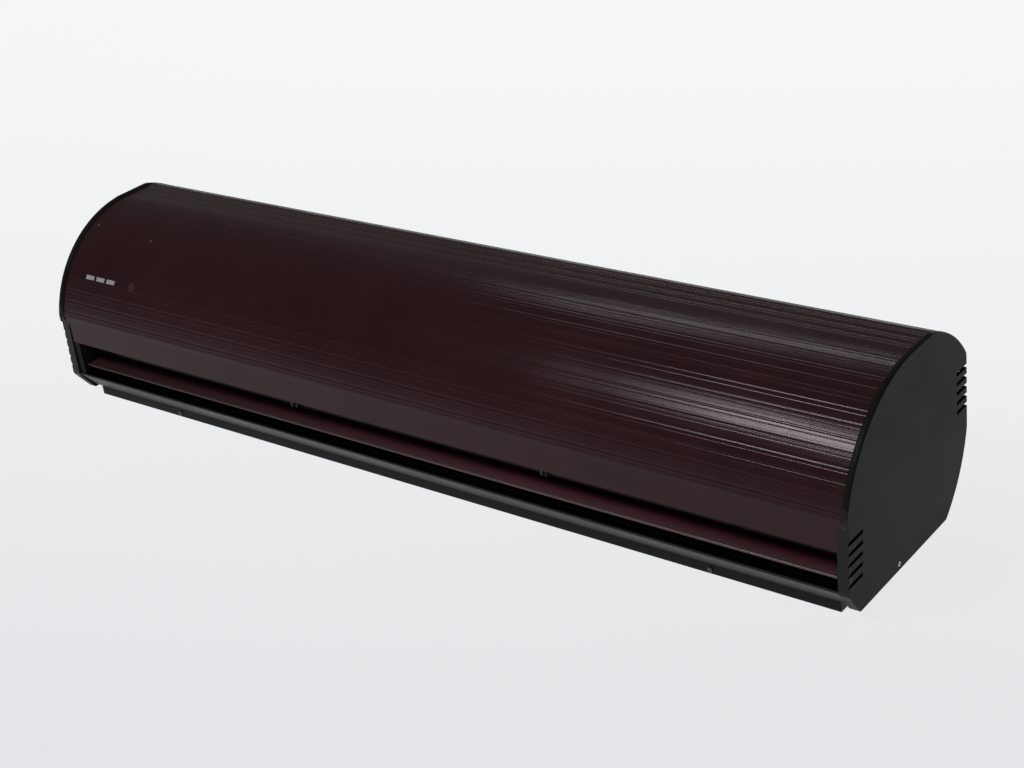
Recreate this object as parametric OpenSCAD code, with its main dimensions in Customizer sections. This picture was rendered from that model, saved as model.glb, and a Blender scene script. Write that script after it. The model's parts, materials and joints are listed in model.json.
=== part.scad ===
// Air curtain: a long cross-flow blower for fixing over a doorway.
// It lies on its wall side here: -Z faces the wall, -Y is the air outlet side (down when it hangs),
// +Y is the air intake side (up when it hangs), X runs along the length.
// The origin is at the middle of the footprint, on the wall plate's back face. Millimetres.

/* [Overall] */
// Length over the two end caps
body_len = 1000; // [900:10:1200]
// Width of each end cap's lower part along the length
cap_w = 11; // [10:0.5:12]
// Width of each end cap's raised rim along the length
rim_w = 7; // [6:0.5:9]
// Wall thickness of the cover, the base and the grille
wall_t = 2; // [1.6:0.1:2.2]
// Height of the shallow wall plate under the base
plate_h = 8.5; // [8:0.5:12]

/* [Cover] */
// Distance between two grooves round the cover
groove_pitch = 12.5; // [11:0.1:14]
// Width of a groove
groove_w = 2.4; // [0.8:0.1:2.6]
// Depth of a groove
groove_d = 0.4; // [0.3:0.1:1]
// Length of one indicator window
window_len = 13.2; // [10:0.1:15.5]
// Width of one indicator window round the cover
window_w = 4.8; // [4:0.1:6]
// Number of indicator windows
window_count = 3; // [1:1:3]

/* [End caps] */
// Number of ventilation slots at each edge of a cap
slot_count = 5; // [2:1:5]
// Height of a ventilation slot
slot_h = 4; // [2:0.1:4.2]

/* [Fan] */
// Radius of the fan wheels
wheel_r = 58; // [54:0.5:58]
// Number of blades round a wheel
blade_count = 34; // [24:1:36]
// Thickness of a blade
blade_t = 1.1; // [0.8:0.1:1.2]
// Number of stiffening rings along a wheel
ring_count = 5; // [2:1:7]
// Radius of the motor's housing
motor_r = 46; // [44:1:46]

/* [Guide vane] */
// Radius of the rod that the guide vane turns on
rod_r = 2.5; // [2:0.1:2.6]
// Distance of each vane hanger from the middle
hanger_x = 164; // [140:1:190]

/* [Wall plate] */
// Distance between the wall fixing holes along the length
wall_hole_x = 800; // [600:10:820]
// Distance between the wall fixing holes across the plate
wall_hole_y = 90; // [70:5:100]
// Radius of a wall fixing hole
wall_hole_r = 3.25; // [2.5:0.25:4]

/* [Hidden] */

// Cross-section measurements, in the section's own y (front to rear) and z (up from the base's underside)
sec_y = 95.75;            // middle of the footprint
half = body_len / 2;
cap_in = half - cap_w;    // inner edge of a cap's lower part
rim_in = half - rim_w;    // inner edge of a cap's raised rim
ear_z = 88;               // the cap's lower part reaches up to here at the front
cap_plate = 3;            // thickness of a cap's side wall
rear_y = 207.2;           // flat rear of the base and grille
top_z = 196.7;            // flat top
cf = [109.4, 68];         // centre of the front curve
rf = 128.7;
cr = [112.4, 87.7];       // centre of the rear top curve
rr = 115.1;
cl = [80.8, 100.1];       // centre of the rear lower curve
rl = 128.7;
rim = 2.3;                // how far a cap's rim stands proud of the cover
rim_rear = 115.4;         // radius of the rim over the grille, nearly flush with it
cap_screw = [72.7, 5.5];  // screw through a cap
lip_z = 65;               // top of the air outlet
sill_z = 26.5;            // bottom of the air outlet
base_z = 3.2;             // underside of the base, a little above the caps' lower edges
plate_y = 2.5;            // front face of the wall plate
plate_d = 158.5;          // depth of the wall plate
seam_y = 150;             // cover meets grille
seam_z = 122;             // grille meets base
fan = [118, 108];         // fan axis
axis_yz = [18, 41.5];     // vane rod axis
sheet = 1.5;
side_x = half - 13.5;     // inner face of a side plate
jamb_x = half - 20.4;     // left end of the outlet opening
wheel_in = 64;
wheel_out = half - 22;
floor_z = 24.5;           // top of the scroll's flat floor
tongue_z = 67;
groove_step = groove_pitch / rf * 180 / PI;
first_groove = 163.8;

// Extrudes a section drawn in (y, z) from x0 to x1
module along_x(x0, x1) translate([x0, -sec_y, plate_h]) rotate([90, 0, 90]) linear_extrude(height = x1 - x0) children();
// Puts a solid at a point of the section, its own axes those of the part
module at(x, y, z) translate([x, y - sec_y, z + plate_h]) children();
// A cylinder along X whose axis runs through a point of the section
module rod_x(x0, x1, c, r) at(x0, c[0], c[1]) rotate([0, 90, 0]) cylinder(h = x1 - x0, r = r, $fn = 72);
// Turned so that +Y points outwards from the centre of the front curve
module radial(x, a, r) at(x, cf[0], cf[1]) rotate([a, 0, 0]) translate([0, r, 0]) children();
module disc(c, r) translate(c) circle(r = r, $fn = 144);
module zone(y0, z0, y1, z1) translate([y0, z0]) square([y1 - y0, z1 - z0]);
module mirrored() { children(); mirror([1, 0, 0]) children(); }
// Screw with its head's underside at the origin, its shank towards -Z
module screw(len, r = 1.5, head_r = 3, head_h = 1.6) {
    translate([0, 0, -len]) cylinder(h = len, r = r, $fn = 32);
    difference() {
        cylinder(h = head_h, r = head_r, $fn = 32);
        for (a = [0, 90]) rotate(a) translate([-head_r * 0.6, -0.35, head_h - 0.7]) cube([head_r * 1.2, 0.7, 1]);
    }
}

// ---------- sections ----------
// Outline of the body between the caps, shrunk by d
module body2d(d = 0) {
    intersection() { disc(cf, rf - d); zone(-30, 96, 115, top_z - d); }
    intersection() { disc(cr, rr - d); zone(114, 60, rear_y - d, top_z - d); }
    intersection() { disc(cl, rl - d); zone(60, base_z + d, rear_y - d, 110); }
    polygon([[100, 110], [-15.4 + d, 97], [-15.4 + d, 64], [-16.5 + d, 24.2 + 0.358 * d], [0.83 + 0.47 * d, base_z + d], [100, base_z + d]]);
}
// Outline of an end cap, shrunk by d
module cap2d(d = 0) {
    intersection() { disc(cf, rf + 2.5 - d); zone(-18 + 0.65 * d, 90, 115, top_z + rim - d); }
    intersection() { disc(cr, rim_rear - d); zone(114, 80, rear_y + rim - d, top_z + rim - d); }
    intersection() { disc(cl, rl + rim - d); zone(60, d, rear_y + rim - d, 95); }
    polygon([[100, 95], [-15.5 + d, 91], [-17.7 + d, 25.5 + 0.2 * d], [-16.9 + d, 22.6 + 0.321 * d], [0.513 * d, d], [100, d]]);
}
module shell2d(t = wall_t) difference() { body2d(0); body2d(t); }
function groove_angle(i) = first_groove - groove_step * i;
module grooves2d() {
    for (i = [0 : floor((first_groove - 92) / groove_step)])
        translate(cf) rotate(groove_angle(i)) translate([rf - groove_d, -groove_w / 2]) square([3, groove_w]);
    for (y = [119 : groove_pitch : seam_y - 4]) zone(y - groove_w / 2, top_z - groove_d, y + groove_w / 2, top_z + 3);
}

// ---------- outer shell ----------
module cover_holes() {
    for (i = [0 : window_count - 1]) radial(-half + 44 + 17 * i, 144.4, rf) translate([-window_len / 2 - 0.1, -6, -window_w / 2 - 0.1]) cube([window_len + 0.2, 8, window_w + 0.2]);
    radial(-half + 112.6, 144.4, rf - 6) rotate([-90, 0, 0]) cylinder(h = 8, r = 5.3, $fn = 48);
    radial(-half + 18.1, 116.3, rf - 6) rotate([-90, 0, 0]) cylinder(h = 8, r = 0.9, $fn = 24);
    radial(-half + 110.4, 119.1, rf - 6) rotate([-90, 0, 0]) cylinder(h = 8, r = 0.9, $fn = 24);
}
module front_cover() color([0.16, 0.09, 0.095]) difference() {
    union() {
        along_x(-rim_in + 0.2, rim_in - 0.2) difference() {
            intersection() { shell2d(); zone(-30, lip_z, seam_y - 0.1, 220); }
            grooves2d();
        }
        along_x(-side_x + 0.1, side_x - 0.1) zone(-15, lip_z, -7, lip_z + wall_t);
    }
    mirrored() at(cap_in - 0.2, -30, lip_z - 1) cube([20, 30, ear_z - lip_z + 1.2]);
    cover_holes();
    for (x = [-450, -270, -90, 90, 270, 450]) at(x * (half - 50) / 450, -10, lip_z - 1) cylinder(h = 6, r = 1.7, $fn = 24);
}
module cap_slots() {
    for (i = [0 : slot_count - 1]) {
        at(half - cap_plate - 0.1, -14, 35.3 + 10.3 * i - slot_h / 2) cube([cap_plate + 1, 14 + 5.9 + 0.65 * i, slot_h]);
        at(half - 1.4, -30, 35.3 + 10.3 * i - slot_h / 2) cube([3, 20, slot_h]);
        at(half - cap_plate - 0.1, 188, 98.5 + 9.65 * i - slot_h / 2) cube([cap_plate + 1, 40, slot_h]);
    }
}
// Tongues at the top and the rear of a cap, which pass through the side plate; g widens them into their slots
module cap_tongues(x0, x1, g = 0) {
    at(x0, 92 - g, 182 - g) cube([x1 - x0, 16 + 2 * g, 2 + 2 * g]);
    at(x0, 196 - g, 70 - g) cube([x1 - x0, 2 + 2 * g, 16 + 2 * g]);
}
module end_cap() difference() {
    union() {
        along_x(half - 1, half) cap2d(1.4);
        along_x(half - 2, half - 0.9) cap2d(0.7);
        along_x(half - cap_plate, half - 1.9) cap2d(0);
        along_x(half - 1, half - 0.3) intersection() { cap2d(0); zone(-30, 10, -8, ear_z); }
        along_x(rim_in, half - cap_plate + 0.1) difference() { cap2d(0); cap2d(2.2); }
        along_x(cap_in, rim_in + 0.1) intersection() {
            difference() { cap2d(0); cap2d(2.2); }
            union() { zone(-30, -1, 100, ear_z); zone(99, -1, 240, seam_z); }
        }
        intersection() {
            rod_x(cap_in, half - cap_plate + 0.1, cap_screw, 5);
            along_x(cap_in, half - cap_plate + 0.1) cap2d(0);
        }
        cap_tongues(side_x - 4, half - cap_plate + 0.1);
    }
    cap_slots();
    rod_x(cap_in - 1, half + 1, cap_screw, 1.6);
    rod_x(half - 1.9, half + 1, cap_screw, 3.2);
}
module end_cap_right() color([0.11, 0.11, 0.115]) end_cap();
module end_cap_left() color([0.11, 0.11, 0.115]) mirror([1, 0, 0]) end_cap();
module base_shell() color([0.13, 0.13, 0.135]) difference() {
    union() {
        along_x(-cap_in + 0.2, cap_in - 0.2) intersection() { shell2d(); union() { zone(-30, -1, 170, sill_z); zone(140, -1, 240, seam_z - 0.1); } }
        along_x(-side_x + 0.1, side_x - 0.1) zone(-15, sill_z - wall_t, -7, sill_z);
    }
    at(-half + 60, 200, 100) rotate([-90, 0, 0]) cylinder(h = 20, r = 8, $fn = 48);
    for (x = [-1, 1]) at(x * (half - 155), 12.5, base_z - 1) cylinder(h = 4, r = 1.7, $fn = 24);
    mirrored() at(side_x - 0.3, 63, -1) cube([6, 20, 8]);
}
module rear_grille() color([0.1, 0.1, 0.105]) difference() {
    union() {
        along_x(-rim_in + 0.2, rim_in - 0.2) {
            intersection() { shell2d(2.4); zone(seam_y + 0.1, 180, 160, 220); }
            intersection() { shell2d(2.4); zone(195, seam_z + 0.1, 240, seam_z + 7.5); }
            for (a = [61 : -4.5 : 38]) translate(cr) rotate(a) translate([rr - 2.4, -1.6]) square([2.4, 3.2]);
            for (z = [151.4, 144, 136.6]) zone(rear_y - 2.4, z - 1.6, rear_y, z + 1.6);
        }
        for (i = [1 : 15]) along_x(-rim_in + i * rim_in / 8 - 1.2, -rim_in + i * rim_in / 8 + 1.2)
            intersection() { difference() { body2d(0.6); body2d(3.4); } zone(seam_y + 2, 129, 240, 220); }
        mirrored() along_x(cap_in - 4, rim_in - 0.2) intersection() { shell2d(2.4); zone(seam_y + 0.1, seam_z + 0.1, 240, 220); }
    }
    for (x = grille_screw_x()) at(x, 200, 125.8) rotate([-90, 0, 0]) cylinder(h = 12, r = 1.7, $fn = 24);
}
function grille_screw_x() = [for (i = [-2.5 : 1 : 2.5]) i * (body_len - 120) / 5];
// Rail behind the seam; g widens its section into the slots that hold its ends in the side plates
module rail2d(g = 0) intersection() { difference() { body2d(3.6 - g); body2d(5 + g); } zone(141 - g, 180, 160 + g, 220); }
module seam_rail() color([0.62, 0.63, 0.64]) along_x(-side_x - sheet, side_x + sheet) rail2d();

// ---------- air path ----------
module side_holes(s) {
    rod_x(side_x - 1, half, fan, 10);
    rod_x(side_x - 9, half, axis_yz, rod_r + 0.02);
    rod_x(side_x - 1, half, [30, 118], 7);
    for (a = [90, 210, 330]) rod_x(side_x - 1, half, fan + 17 * [cos(a), sin(a)], 1.55);
    rod_x(side_x - 1, half, cap_screw, 1.52);
    along_x(side_x - 1, half) rail2d(0.1);
    cap_tongues(side_x - 1, half, 0.15);
}
// Side plate's outline, with a tab at the bottom that the cap's screw goes into
module side2d() {
    body2d(2.4);
    zone(64, 1.5, 82, 12);
}
module side_plate_right() color([0.2, 0.2, 0.205]) difference() {
    along_x(side_x, side_x + sheet) side2d();
    side_holes();
}
module side_plate_left() color([0.2, 0.2, 0.205]) difference() {
    mirror([1, 0, 0]) difference() {
        union() {
            along_x(side_x, side_x + sheet) side2d();
            along_x(jamb_x, side_x + 0.5) zone(-15.2, sill_z + 0.1, -12.8, lip_z - 0.1);
            along_x(jamb_x, jamb_x + sheet) zone(-15.2, sill_z + 0.1, 26, lip_z - 0.1);
        }
        side_holes();
    }
}
// Guide curve of the fan: radius grows steadily with the angle travelled
function guide_r(t) = wheel_r + 4 + (fan[1] - floor_z - wheel_r - 4) * t / 115;
function guide_p(t, o) = fan + (guide_r(t) + o) * [cos(25 - t), sin(25 - t)];
module scroll_housing() color([0.6, 0.61, 0.62]) difference() {
    along_x(-side_x + 0.1, side_x - 0.1) {
        polygon(concat([for (t = [0 : 5 : 115]) guide_p(t, 0)], [for (t = [115 : -5 : 0]) guide_p(t, sheet)]));
        zone(-12, floor_z - sheet, fan[0] + 0.2, floor_z);
        polygon([guide_p(0, 0) + [-0.3, 0.1], guide_p(0, sheet) + [0, 0.8], [204.7, 119.5], [204.7, 118], guide_p(2, sheet)]);
        zone(203.2, 118, 204.7, 128.8);
    }
    for (x = grille_screw_x()) at(x, 202, 125.8) rotate([-90, 0, 0]) cylinder(h = 4, r = 1.55, $fn = 24);
    mirrored() at(jamb_x - 0.2, -16, floor_z + 0.1) cube([30, 0.1, 0.1]);
    mirrored() for (y = [95, 111]) at(38, y, floor_z - 4) cylinder(h = 6, r = 1.55, $fn = 24);
}
module tongue_panel() color([0.6, 0.61, 0.62]) difference() {
    along_x(-side_x + 0.1, side_x - 0.1)
        polygon([[-13, tongue_z], [30, tongue_z], [54.3, 77], [61, 85], [59.9, 86], [53.4, 78.5], [29.7, tongue_z + sheet], [-13, tongue_z + sheet]]);
    for (x = [-450, -270, -90, 90, 270, 450]) at(x * (half - 50) / 450, -10, tongue_z - 1) cylinder(h = 6, r = 1.55, $fn = 24);
    mirrored() at(hanger_x + 8, 16, tongue_z - 1) cylinder(h = 6, r = 1.55, $fn = 24);
}

// ---------- wall fixing ----------
module wall_plate() color([0.12, 0.12, 0.125]) difference() {
    union() {
        translate([-half + 20, plate_y - sec_y, 0]) cube([body_len - 40, plate_d, sheet]);
        for (y = [plate_y, plate_y + plate_d - sheet]) translate([-half + 20, y - sec_y, 0]) cube([body_len - 40, sheet, plate_h + base_z]);
        mirrored() translate([half - 20 - sheet, plate_y - sec_y, 0]) cube([sheet, plate_d, plate_h + base_z]);
    }
    for (x = [-1, 1], y = [-1, 1]) translate([x * wall_hole_x / 2, 82 - sec_y + y * wall_hole_y / 2, -1]) cylinder(h = 4, r = wall_hole_r, $fn = 48);
    mirrored() at(half - 152, plate_y - 1.5, -plate_h / 2) rotate([-90, 0, 0]) cylinder(h = 4, r = 1.7, $fn = 24);
}
module retaining_brackets() color([0.6, 0.61, 0.62]) mirrored() difference() {
    union() {
        at(half - 167, plate_y + 1.6, base_z - sheet) cube([30, 16, sheet]);
        at(half - 167, plate_y + 1.6, -6.8) cube([30, sheet, 6.8 + base_z]);
    }
    at(half - 152, plate_y + 0.5, -plate_h / 2) rotate([-90, 0, 0]) cylinder(h = 4, r = 1.52, $fn = 24);
    at(half - 155, 12.5, base_z - 3) cylinder(h = 6, r = 1.52, $fn = 24);
}
module hang_hooks() color([0.6, 0.61, 0.62]) mirrored() union() {
    at(280, plate_y + plate_d + 0.2, -6.5) cube([40, sheet, 6.5 + base_z]);
    at(280, plate_y + plate_d + 0.2, base_z - sheet) cube([40, 4, sheet]);
}

// ---------- guide vane ----------
function vane_z(y) = 36.2 + 1.2 * (1 - pow((y - 14) / 24, 2));
module vane2d() {
    polygon(concat([for (y = [-9 : 3 : 33]) [y, vane_z(y)]], [for (y = [33 : -3 : -9]) [y, vane_z(y) - 1.7]]));
    translate([-9, vane_z(-9) - 0.85]) circle(r = 1.5, $fn = 24);
    translate([33, vane_z(33) - 0.85]) circle(r = 0.85, $fn = 24);
}
module vane_tube2d() {
    disc(axis_yz, 4.2);
    zone(axis_yz[0] - 1.5, 36.4, axis_yz[0] + 1.5, 40);
}
module guide_vane() color([0.3, 0.12, 0.13]) difference() {
    union() {
        along_x(-jamb_x + 1, side_x - 0.5) vane2d();
        along_x(-jamb_x + 1, -hanger_x - 2) vane_tube2d();
        along_x(-hanger_x + 2, hanger_x - 2) vane_tube2d();
        along_x(hanger_x + 2, side_x - 0.5) vane_tube2d();
    }
    rod_x(-half, half, axis_yz, rod_r + 0.05);
}
module vane_rod() color([0.75, 0.76, 0.78]) rod_x(-side_x - sheet, side_x + sheet, axis_yz, rod_r);
module vane_hanger() difference() {
    union() {
        along_x(hanger_x - 1, hanger_x + 1) union() {
            zone(3.5, 46, 26, tongue_z - 0.05);
            intersection() { disc(axis_yz, 8.5); zone(3.5, 41.5, 30, 60); }
            disc(axis_yz, 4);
        }
        at(hanger_x - 1, 8, tongue_z - 1.45) cube([15, 16, 1.4]);
    }
    rod_x(hanger_x - 3, hanger_x + 3, axis_yz, rod_r + 0.02);
    at(hanger_x + 8, 16, tongue_z - 3) cylinder(h = 4, r = 1.7, $fn = 24);
}
module vane_hanger_right() color([0.55, 0.55, 0.56]) vane_hanger();
module vane_hanger_left() color([0.55, 0.55, 0.56]) mirror([1, 0, 0]) vane_hanger();

// ---------- fan ----------
module blade2d() polygon([[wheel_r - 12.5, -4.4], [wheel_r - 6.6, -1.6], [wheel_r - 0.9, 3.1], [wheel_r - 1.5, 3.1 + blade_t * 0.9], [wheel_r - 7.1, -1.6 + blade_t], [wheel_r - 12.9, -4.4 + blade_t]]);
module wheel() difference() {
    union() {
        along_x(wheel_in + 1, wheel_out - 1) translate(fan) for (i = [0 : blade_count - 1]) rotate(i * 360 / blade_count) blade2d();
        rod_x(wheel_in, wheel_in + 3, fan, wheel_r);
        rod_x(wheel_out - 3, wheel_out, fan, wheel_r);
        rod_x(wheel_out - 10, wheel_out + 2, fan, 9);
        for (i = [1 : ring_count]) along_x(wheel_in + i * (wheel_out - wheel_in) / (ring_count + 1) - 0.7, wheel_in + i * (wheel_out - wheel_in) / (ring_count + 1) + 0.7)
            difference() { disc(fan, wheel_r); disc(fan, wheel_r - 13.6); }
    }
    rod_x(wheel_in - 1, wheel_in + 4, fan, 14);
    rod_x(wheel_out - 12, wheel_out + 4, fan, 4);
}
module fan_wheel_right() color([0.5, 0.51, 0.53]) wheel();
module fan_wheel_left() color([0.5, 0.51, 0.53]) mirror([1, 0, 0]) wheel();
module hub() difference() { rod_x(60, 78, fan, 14); rod_x(59, 79, fan, 4); }
module wheel_hub_right() color([0.14, 0.14, 0.14]) hub();
module wheel_hub_left() color([0.14, 0.14, 0.14]) mirror([1, 0, 0]) hub();
module wheel_shaft_right() color([0.75, 0.76, 0.78]) rod_x(wheel_out - 10, half - 4.5, fan, 4);
module wheel_shaft_left() color([0.75, 0.76, 0.78]) mirror([1, 0, 0]) rod_x(wheel_out - 10, half - 4.5, fan, 4);
module motor_shaft() color([0.75, 0.76, 0.78]) rod_x(-76, 76, fan, 4);
module rotor_core() color([0.5, 0.5, 0.52]) difference() { rod_x(-25, 25, fan, 25.4); rod_x(-26, 26, fan, 4); }

// ---------- motor ----------
module motor_housing() color([0.55, 0.56, 0.58]) difference() {
    union() { rod_x(-42, 39, fan, motor_r); rod_x(-50, -41, fan, 18); }
    rod_x(-39, 40, fan, motor_r - 3);
    rod_x(-51, -42, fan, 11);
    rod_x(-43, -38, fan, 6);
}
module motor_end_shield() color([0.6, 0.61, 0.63]) difference() {
    union() { rod_x(39, 42, fan, motor_r); rod_x(41, 50, fan, 18); }
    rod_x(42, 51, fan, 11);
    rod_x(38, 43, fan, 6);
}
module stator_core() color([0.4, 0.4, 0.42]) difference() { rod_x(-22, 22, fan, motor_r - 3); rod_x(-23, 23, fan, 26); }
module stator_windings() color([0.72, 0.4, 0.2]) mirrored() difference() { rod_x(22, 33, fan, 39); rod_x(21, 34, fan, 28); }
module motor_bearings() color([0.78, 0.79, 0.8]) mirrored() difference() { rod_x(42, 49, fan, 11); rod_x(41, 50, fan, 4.04); }
module mount_rings() color([0.08, 0.08, 0.08]) mirrored() difference() { rod_x(44, 48, fan, 24); rod_x(43, 49, fan, 18); }
module cradle() difference() {
    union() {
        along_x(45, 47) union() {
            disc(fan, 31);
            polygon([[88, floor_z + 0.1], [118, floor_z + 0.1], [144, 96], [92, 96]]);
        }
        along_x(32, 46) zone(88, floor_z + 0.1, 118, floor_z + 2.1);
    }
    rod_x(44, 48, fan, 24);
    for (y = [95, 111]) at(38, y, floor_z - 1) cylinder(h = 4, r = 1.7, $fn = 24);
}
module motor_cradle_right() color([0.6, 0.61, 0.62]) cradle();
module motor_cradle_left() color([0.6, 0.61, 0.62]) mirror([1, 0, 0]) cradle();
module end_bearings() color([0.7, 0.55, 0.25]) mirrored() difference() { rod_x(half - 11, half - 5, fan, 9); rod_x(half - 12, half - 4, fan, 4.05); }
module holder() difference() {
    union() { rod_x(half - 12, half - 10, fan, 21); rod_x(half - 12, half - 4.5, fan, 11.5); }
    rod_x(half - 11, half - 4, fan, 9);
    rod_x(half - 13, half - 10, fan, 6);
    for (a = [90, 210, 330]) rod_x(half - 13, half - 9, fan + 17 * [cos(a), sin(a)], 1.7);
}
module bearing_holder_right() color([0.12, 0.12, 0.12]) holder();
module bearing_holder_left() color([0.12, 0.12, 0.12]) mirror([1, 0, 0]) holder();

// ---------- electrics ----------
tray_x0 = -half + 34;
tray_x1 = -half + 170;
tray_z = tongue_z + sheet;
module electronics_tray() color([0.6, 0.61, 0.62]) difference() {
    union() {
        at(tray_x0, 2, tray_z) cube([tray_x1 - tray_x0, 27.5, 1.2]);
        at(tray_x0, 28.3, tray_z) cube([tray_x1 - tray_x0, 1.2, 52]);
    }
    for (x = [tray_x0 + 8, tray_x1 - 8], z = [78, 114]) at(x, 20, z) rotate([-90, 0, 0]) cylinder(h = 12, r = 1.2, $fn = 24);
}
module control_board() color([0.1, 0.35, 0.2]) difference() {
    union() {
        at(tray_x0 + 3, 20, 74) cube([tray_x1 - tray_x0 - 6, 1.6, 44]);
        for (x = [tray_x0 + 8, tray_x1 - 8], z = [78, 114]) at(x, 21.5, z) rotate([-90, 0, 0]) cylinder(h = 6.8, r = 3, $fn = 24);
    }
    for (x = [tray_x0 + 8, tray_x1 - 8], z = [78, 114]) at(x, 19, z) rotate([-90, 0, 0]) cylinder(h = 12, r = 1.22, $fn = 24);
}
module relays() color([0.15, 0.3, 0.6]) for (i = [0 : 2]) at(tray_x0 + 62 + 21 * i, 5, 82) cube([17, 15, 18]);
module transformer() color([0.75, 0.6, 0.2]) at(tray_x0 + 16, 0, 80) cube([36, 20, 28]);
module run_capacitor() color([0.85, 0.85, 0.83]) rod_x(-half + 200, -half + 262, [14, 86.5], 15);
module capacitor_clamp() color([0.6, 0.61, 0.62]) union() {
    difference() { rod_x(-half + 224, -half + 236, [14, 86.5], 16.2); rod_x(-half + 223, -half + 237, [14, 86.5], 15.02); }
    at(-half + 224, -1, tray_z) cube([12, 30, 1.9]);
}
module terminal_block() color([0.86, 0.85, 0.8]) difference() {
    at(-half + 90, 190.5, 92) cube([44, 14.6, 16]);
    for (i = [0 : 3]) at(-half + 96 + 10.6 * i, 186, 100) rotate([-90, 0, 0]) cylinder(h = 12, r = 2.6, $fn = 24);
}
module display_board() color([0.1, 0.3, 0.18]) radial(-half + 78, 144.4, 118) union() {
    translate([-50, 0, -9]) cube([100, 1.6, 18]);
    for (i = [0 : 2]) translate([-34 + 17 * i - 2.5, 1.5, -1.6]) cube([5, 2.6, 3.2]);
    translate([34.6 - 3, 1.5, -3]) cube([6, 2.8, 6]);
}
module display_spacers() color([0.8, 0.8, 0.78]) for (x = [-46, 46]) radial(-half + 78 + x, 144.4, 119.65) rotate([-90, 0, 0]) cylinder(h = 6.4, r = 2.6, $fn = 32);
module indicator_windows() color([0.85, 0.85, 0.85]) for (i = [0 : window_count - 1]) radial(-half + 44 + 17 * i, 144.4, rf) union() {
    translate([-window_len / 2, -4.2, -window_w / 2]) cube([window_len, 4.3, window_w]);
    translate([-window_len / 2 - 0.8, -4.2, -window_w / 2 - 1]) cube([window_len + 1.6, 1.6, window_w + 2]);
}
module receiver_lens() color([0.3, 0.2, 0.2]) radial(-half + 112.6, 144.4, rf) rotate([-90, 0, 0]) union() {
    translate([0, 0, -4]) cylinder(h = 4.1, r = 5.2, $fn = 48);
    translate([0, 0, -4.4]) cylinder(h = 1.6, r = 6.6, $fn = 48);
}
module cable_gland() color([0.05, 0.05, 0.05]) at(-half + 60, rear_y, 100) rotate([-90, 0, 0]) difference() {
    union() {
        cylinder(h = rim - 0.1, r = 11, $fn = 48);
        translate([0, 0, -wall_t - 1.5]) cylinder(h = wall_t + 2, r = 7.98, $fn = 48);
        translate([0, 0, -wall_t - 3]) cylinder(h = 3, r = 10, $fn = 48);
    }
    translate([0, 0, -10]) cylinder(h = 20, r = 5, $fn = 48);
}
module cover_rivets() color([0.7, 0.7, 0.7]) for (p = [[18.1, 116.3], [110.4, 119.1]]) radial(-half + p[0], p[1], rf) rotate([-90, 0, 0]) union() {
    translate([0, 0, -3]) cylinder(h = 3.2, r = 0.88, $fn = 24);
    cylinder(h = 0.7, r = 1.5, $fn = 24);
}

// ---------- fasteners ----------
module cap_screws() color([0.7, 0.7, 0.7]) mirrored() at(half - 1.9, cap_screw[0], cap_screw[1]) rotate([0, 90, 0]) screw(11.6, 1.5, 2.5, 1.5);
module plate_screws() color([0.7, 0.7, 0.7]) mirrored() at(half - 152, plate_y, -plate_h / 2) rotate([90, 0, 0]) screw(7, 1.5, 2.5, 1.3);
module lip_screws() color([0.7, 0.7, 0.7]) for (x = [-450, -270, -90, 90, 270, 450]) at(x * (half - 50) / 450, -10, lip_z) rotate([180, 0, 0]) screw(5.5, 1.5, 2.8, 1.4);
module grille_screws() color([0.2, 0.2, 0.2]) for (x = grille_screw_x()) at(x, rear_y, 125.8) rotate([-90, 0, 0]) screw(7, 1.5, 2.8, 1.5);
module hanger_screws() color([0.7, 0.7, 0.7]) mirrored() at(hanger_x + 8, 16, tongue_z - 1.45) rotate([180, 0, 0]) screw(5, 1.5, 2.8, 1.4);
module cradle_screws() color([0.7, 0.7, 0.7]) mirrored() for (y = [95, 111]) at(38, y, floor_z + 2.1) screw(5, 1.5, 2.8, 1.4);
module bearing_screws() color([0.7, 0.7, 0.7]) mirrored() for (a = [90, 210, 330]) at(half - 10, fan[0] + 17 * cos(a), fan[1] + 17 * sin(a)) rotate([0, 90, 0]) screw(4.5, 1.5, 2.6, 1.4);
module board_screws() color([0.7, 0.7, 0.7]) for (x = [tray_x0 + 8, tray_x1 - 8], z = [78, 114]) at(x, 20, z) rotate([90, 0, 0]) screw(10, 1.15, 2.4, 1.3);

front_cover();
end_cap_left();
end_cap_right();
base_shell();
rear_grille();
seam_rail();
side_plate_left();
side_plate_right();
scroll_housing();
tongue_panel();
wall_plate();
retaining_brackets();
hang_hooks();
guide_vane();
vane_rod();
vane_hanger_left();
vane_hanger_right();
fan_wheel_left();
fan_wheel_right();
wheel_hub_left();
wheel_hub_right();
wheel_shaft_left();
wheel_shaft_right();
motor_shaft();
rotor_core();
motor_housing();
motor_end_shield();
stator_core();
stator_windings();
motor_bearings();
mount_rings();
motor_cradle_left();
motor_cradle_right();
end_bearings();
bearing_holder_left();
bearing_holder_right();
electronics_tray();
control_board();
relays();
transformer();
run_capacitor();
capacitor_clamp();
terminal_block();
display_board();
display_spacers();
indicator_windows();
receiver_lens();
cable_gland();
cover_rivets();
cap_screws();
plate_screws();
lip_screws();
grille_screws();
hanger_screws();
cradle_screws();
bearing_screws();
board_screws();
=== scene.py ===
import bpy
import bmesh
import json
import math
import numpy as np
from mathutils import Matrix, Vector


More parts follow.
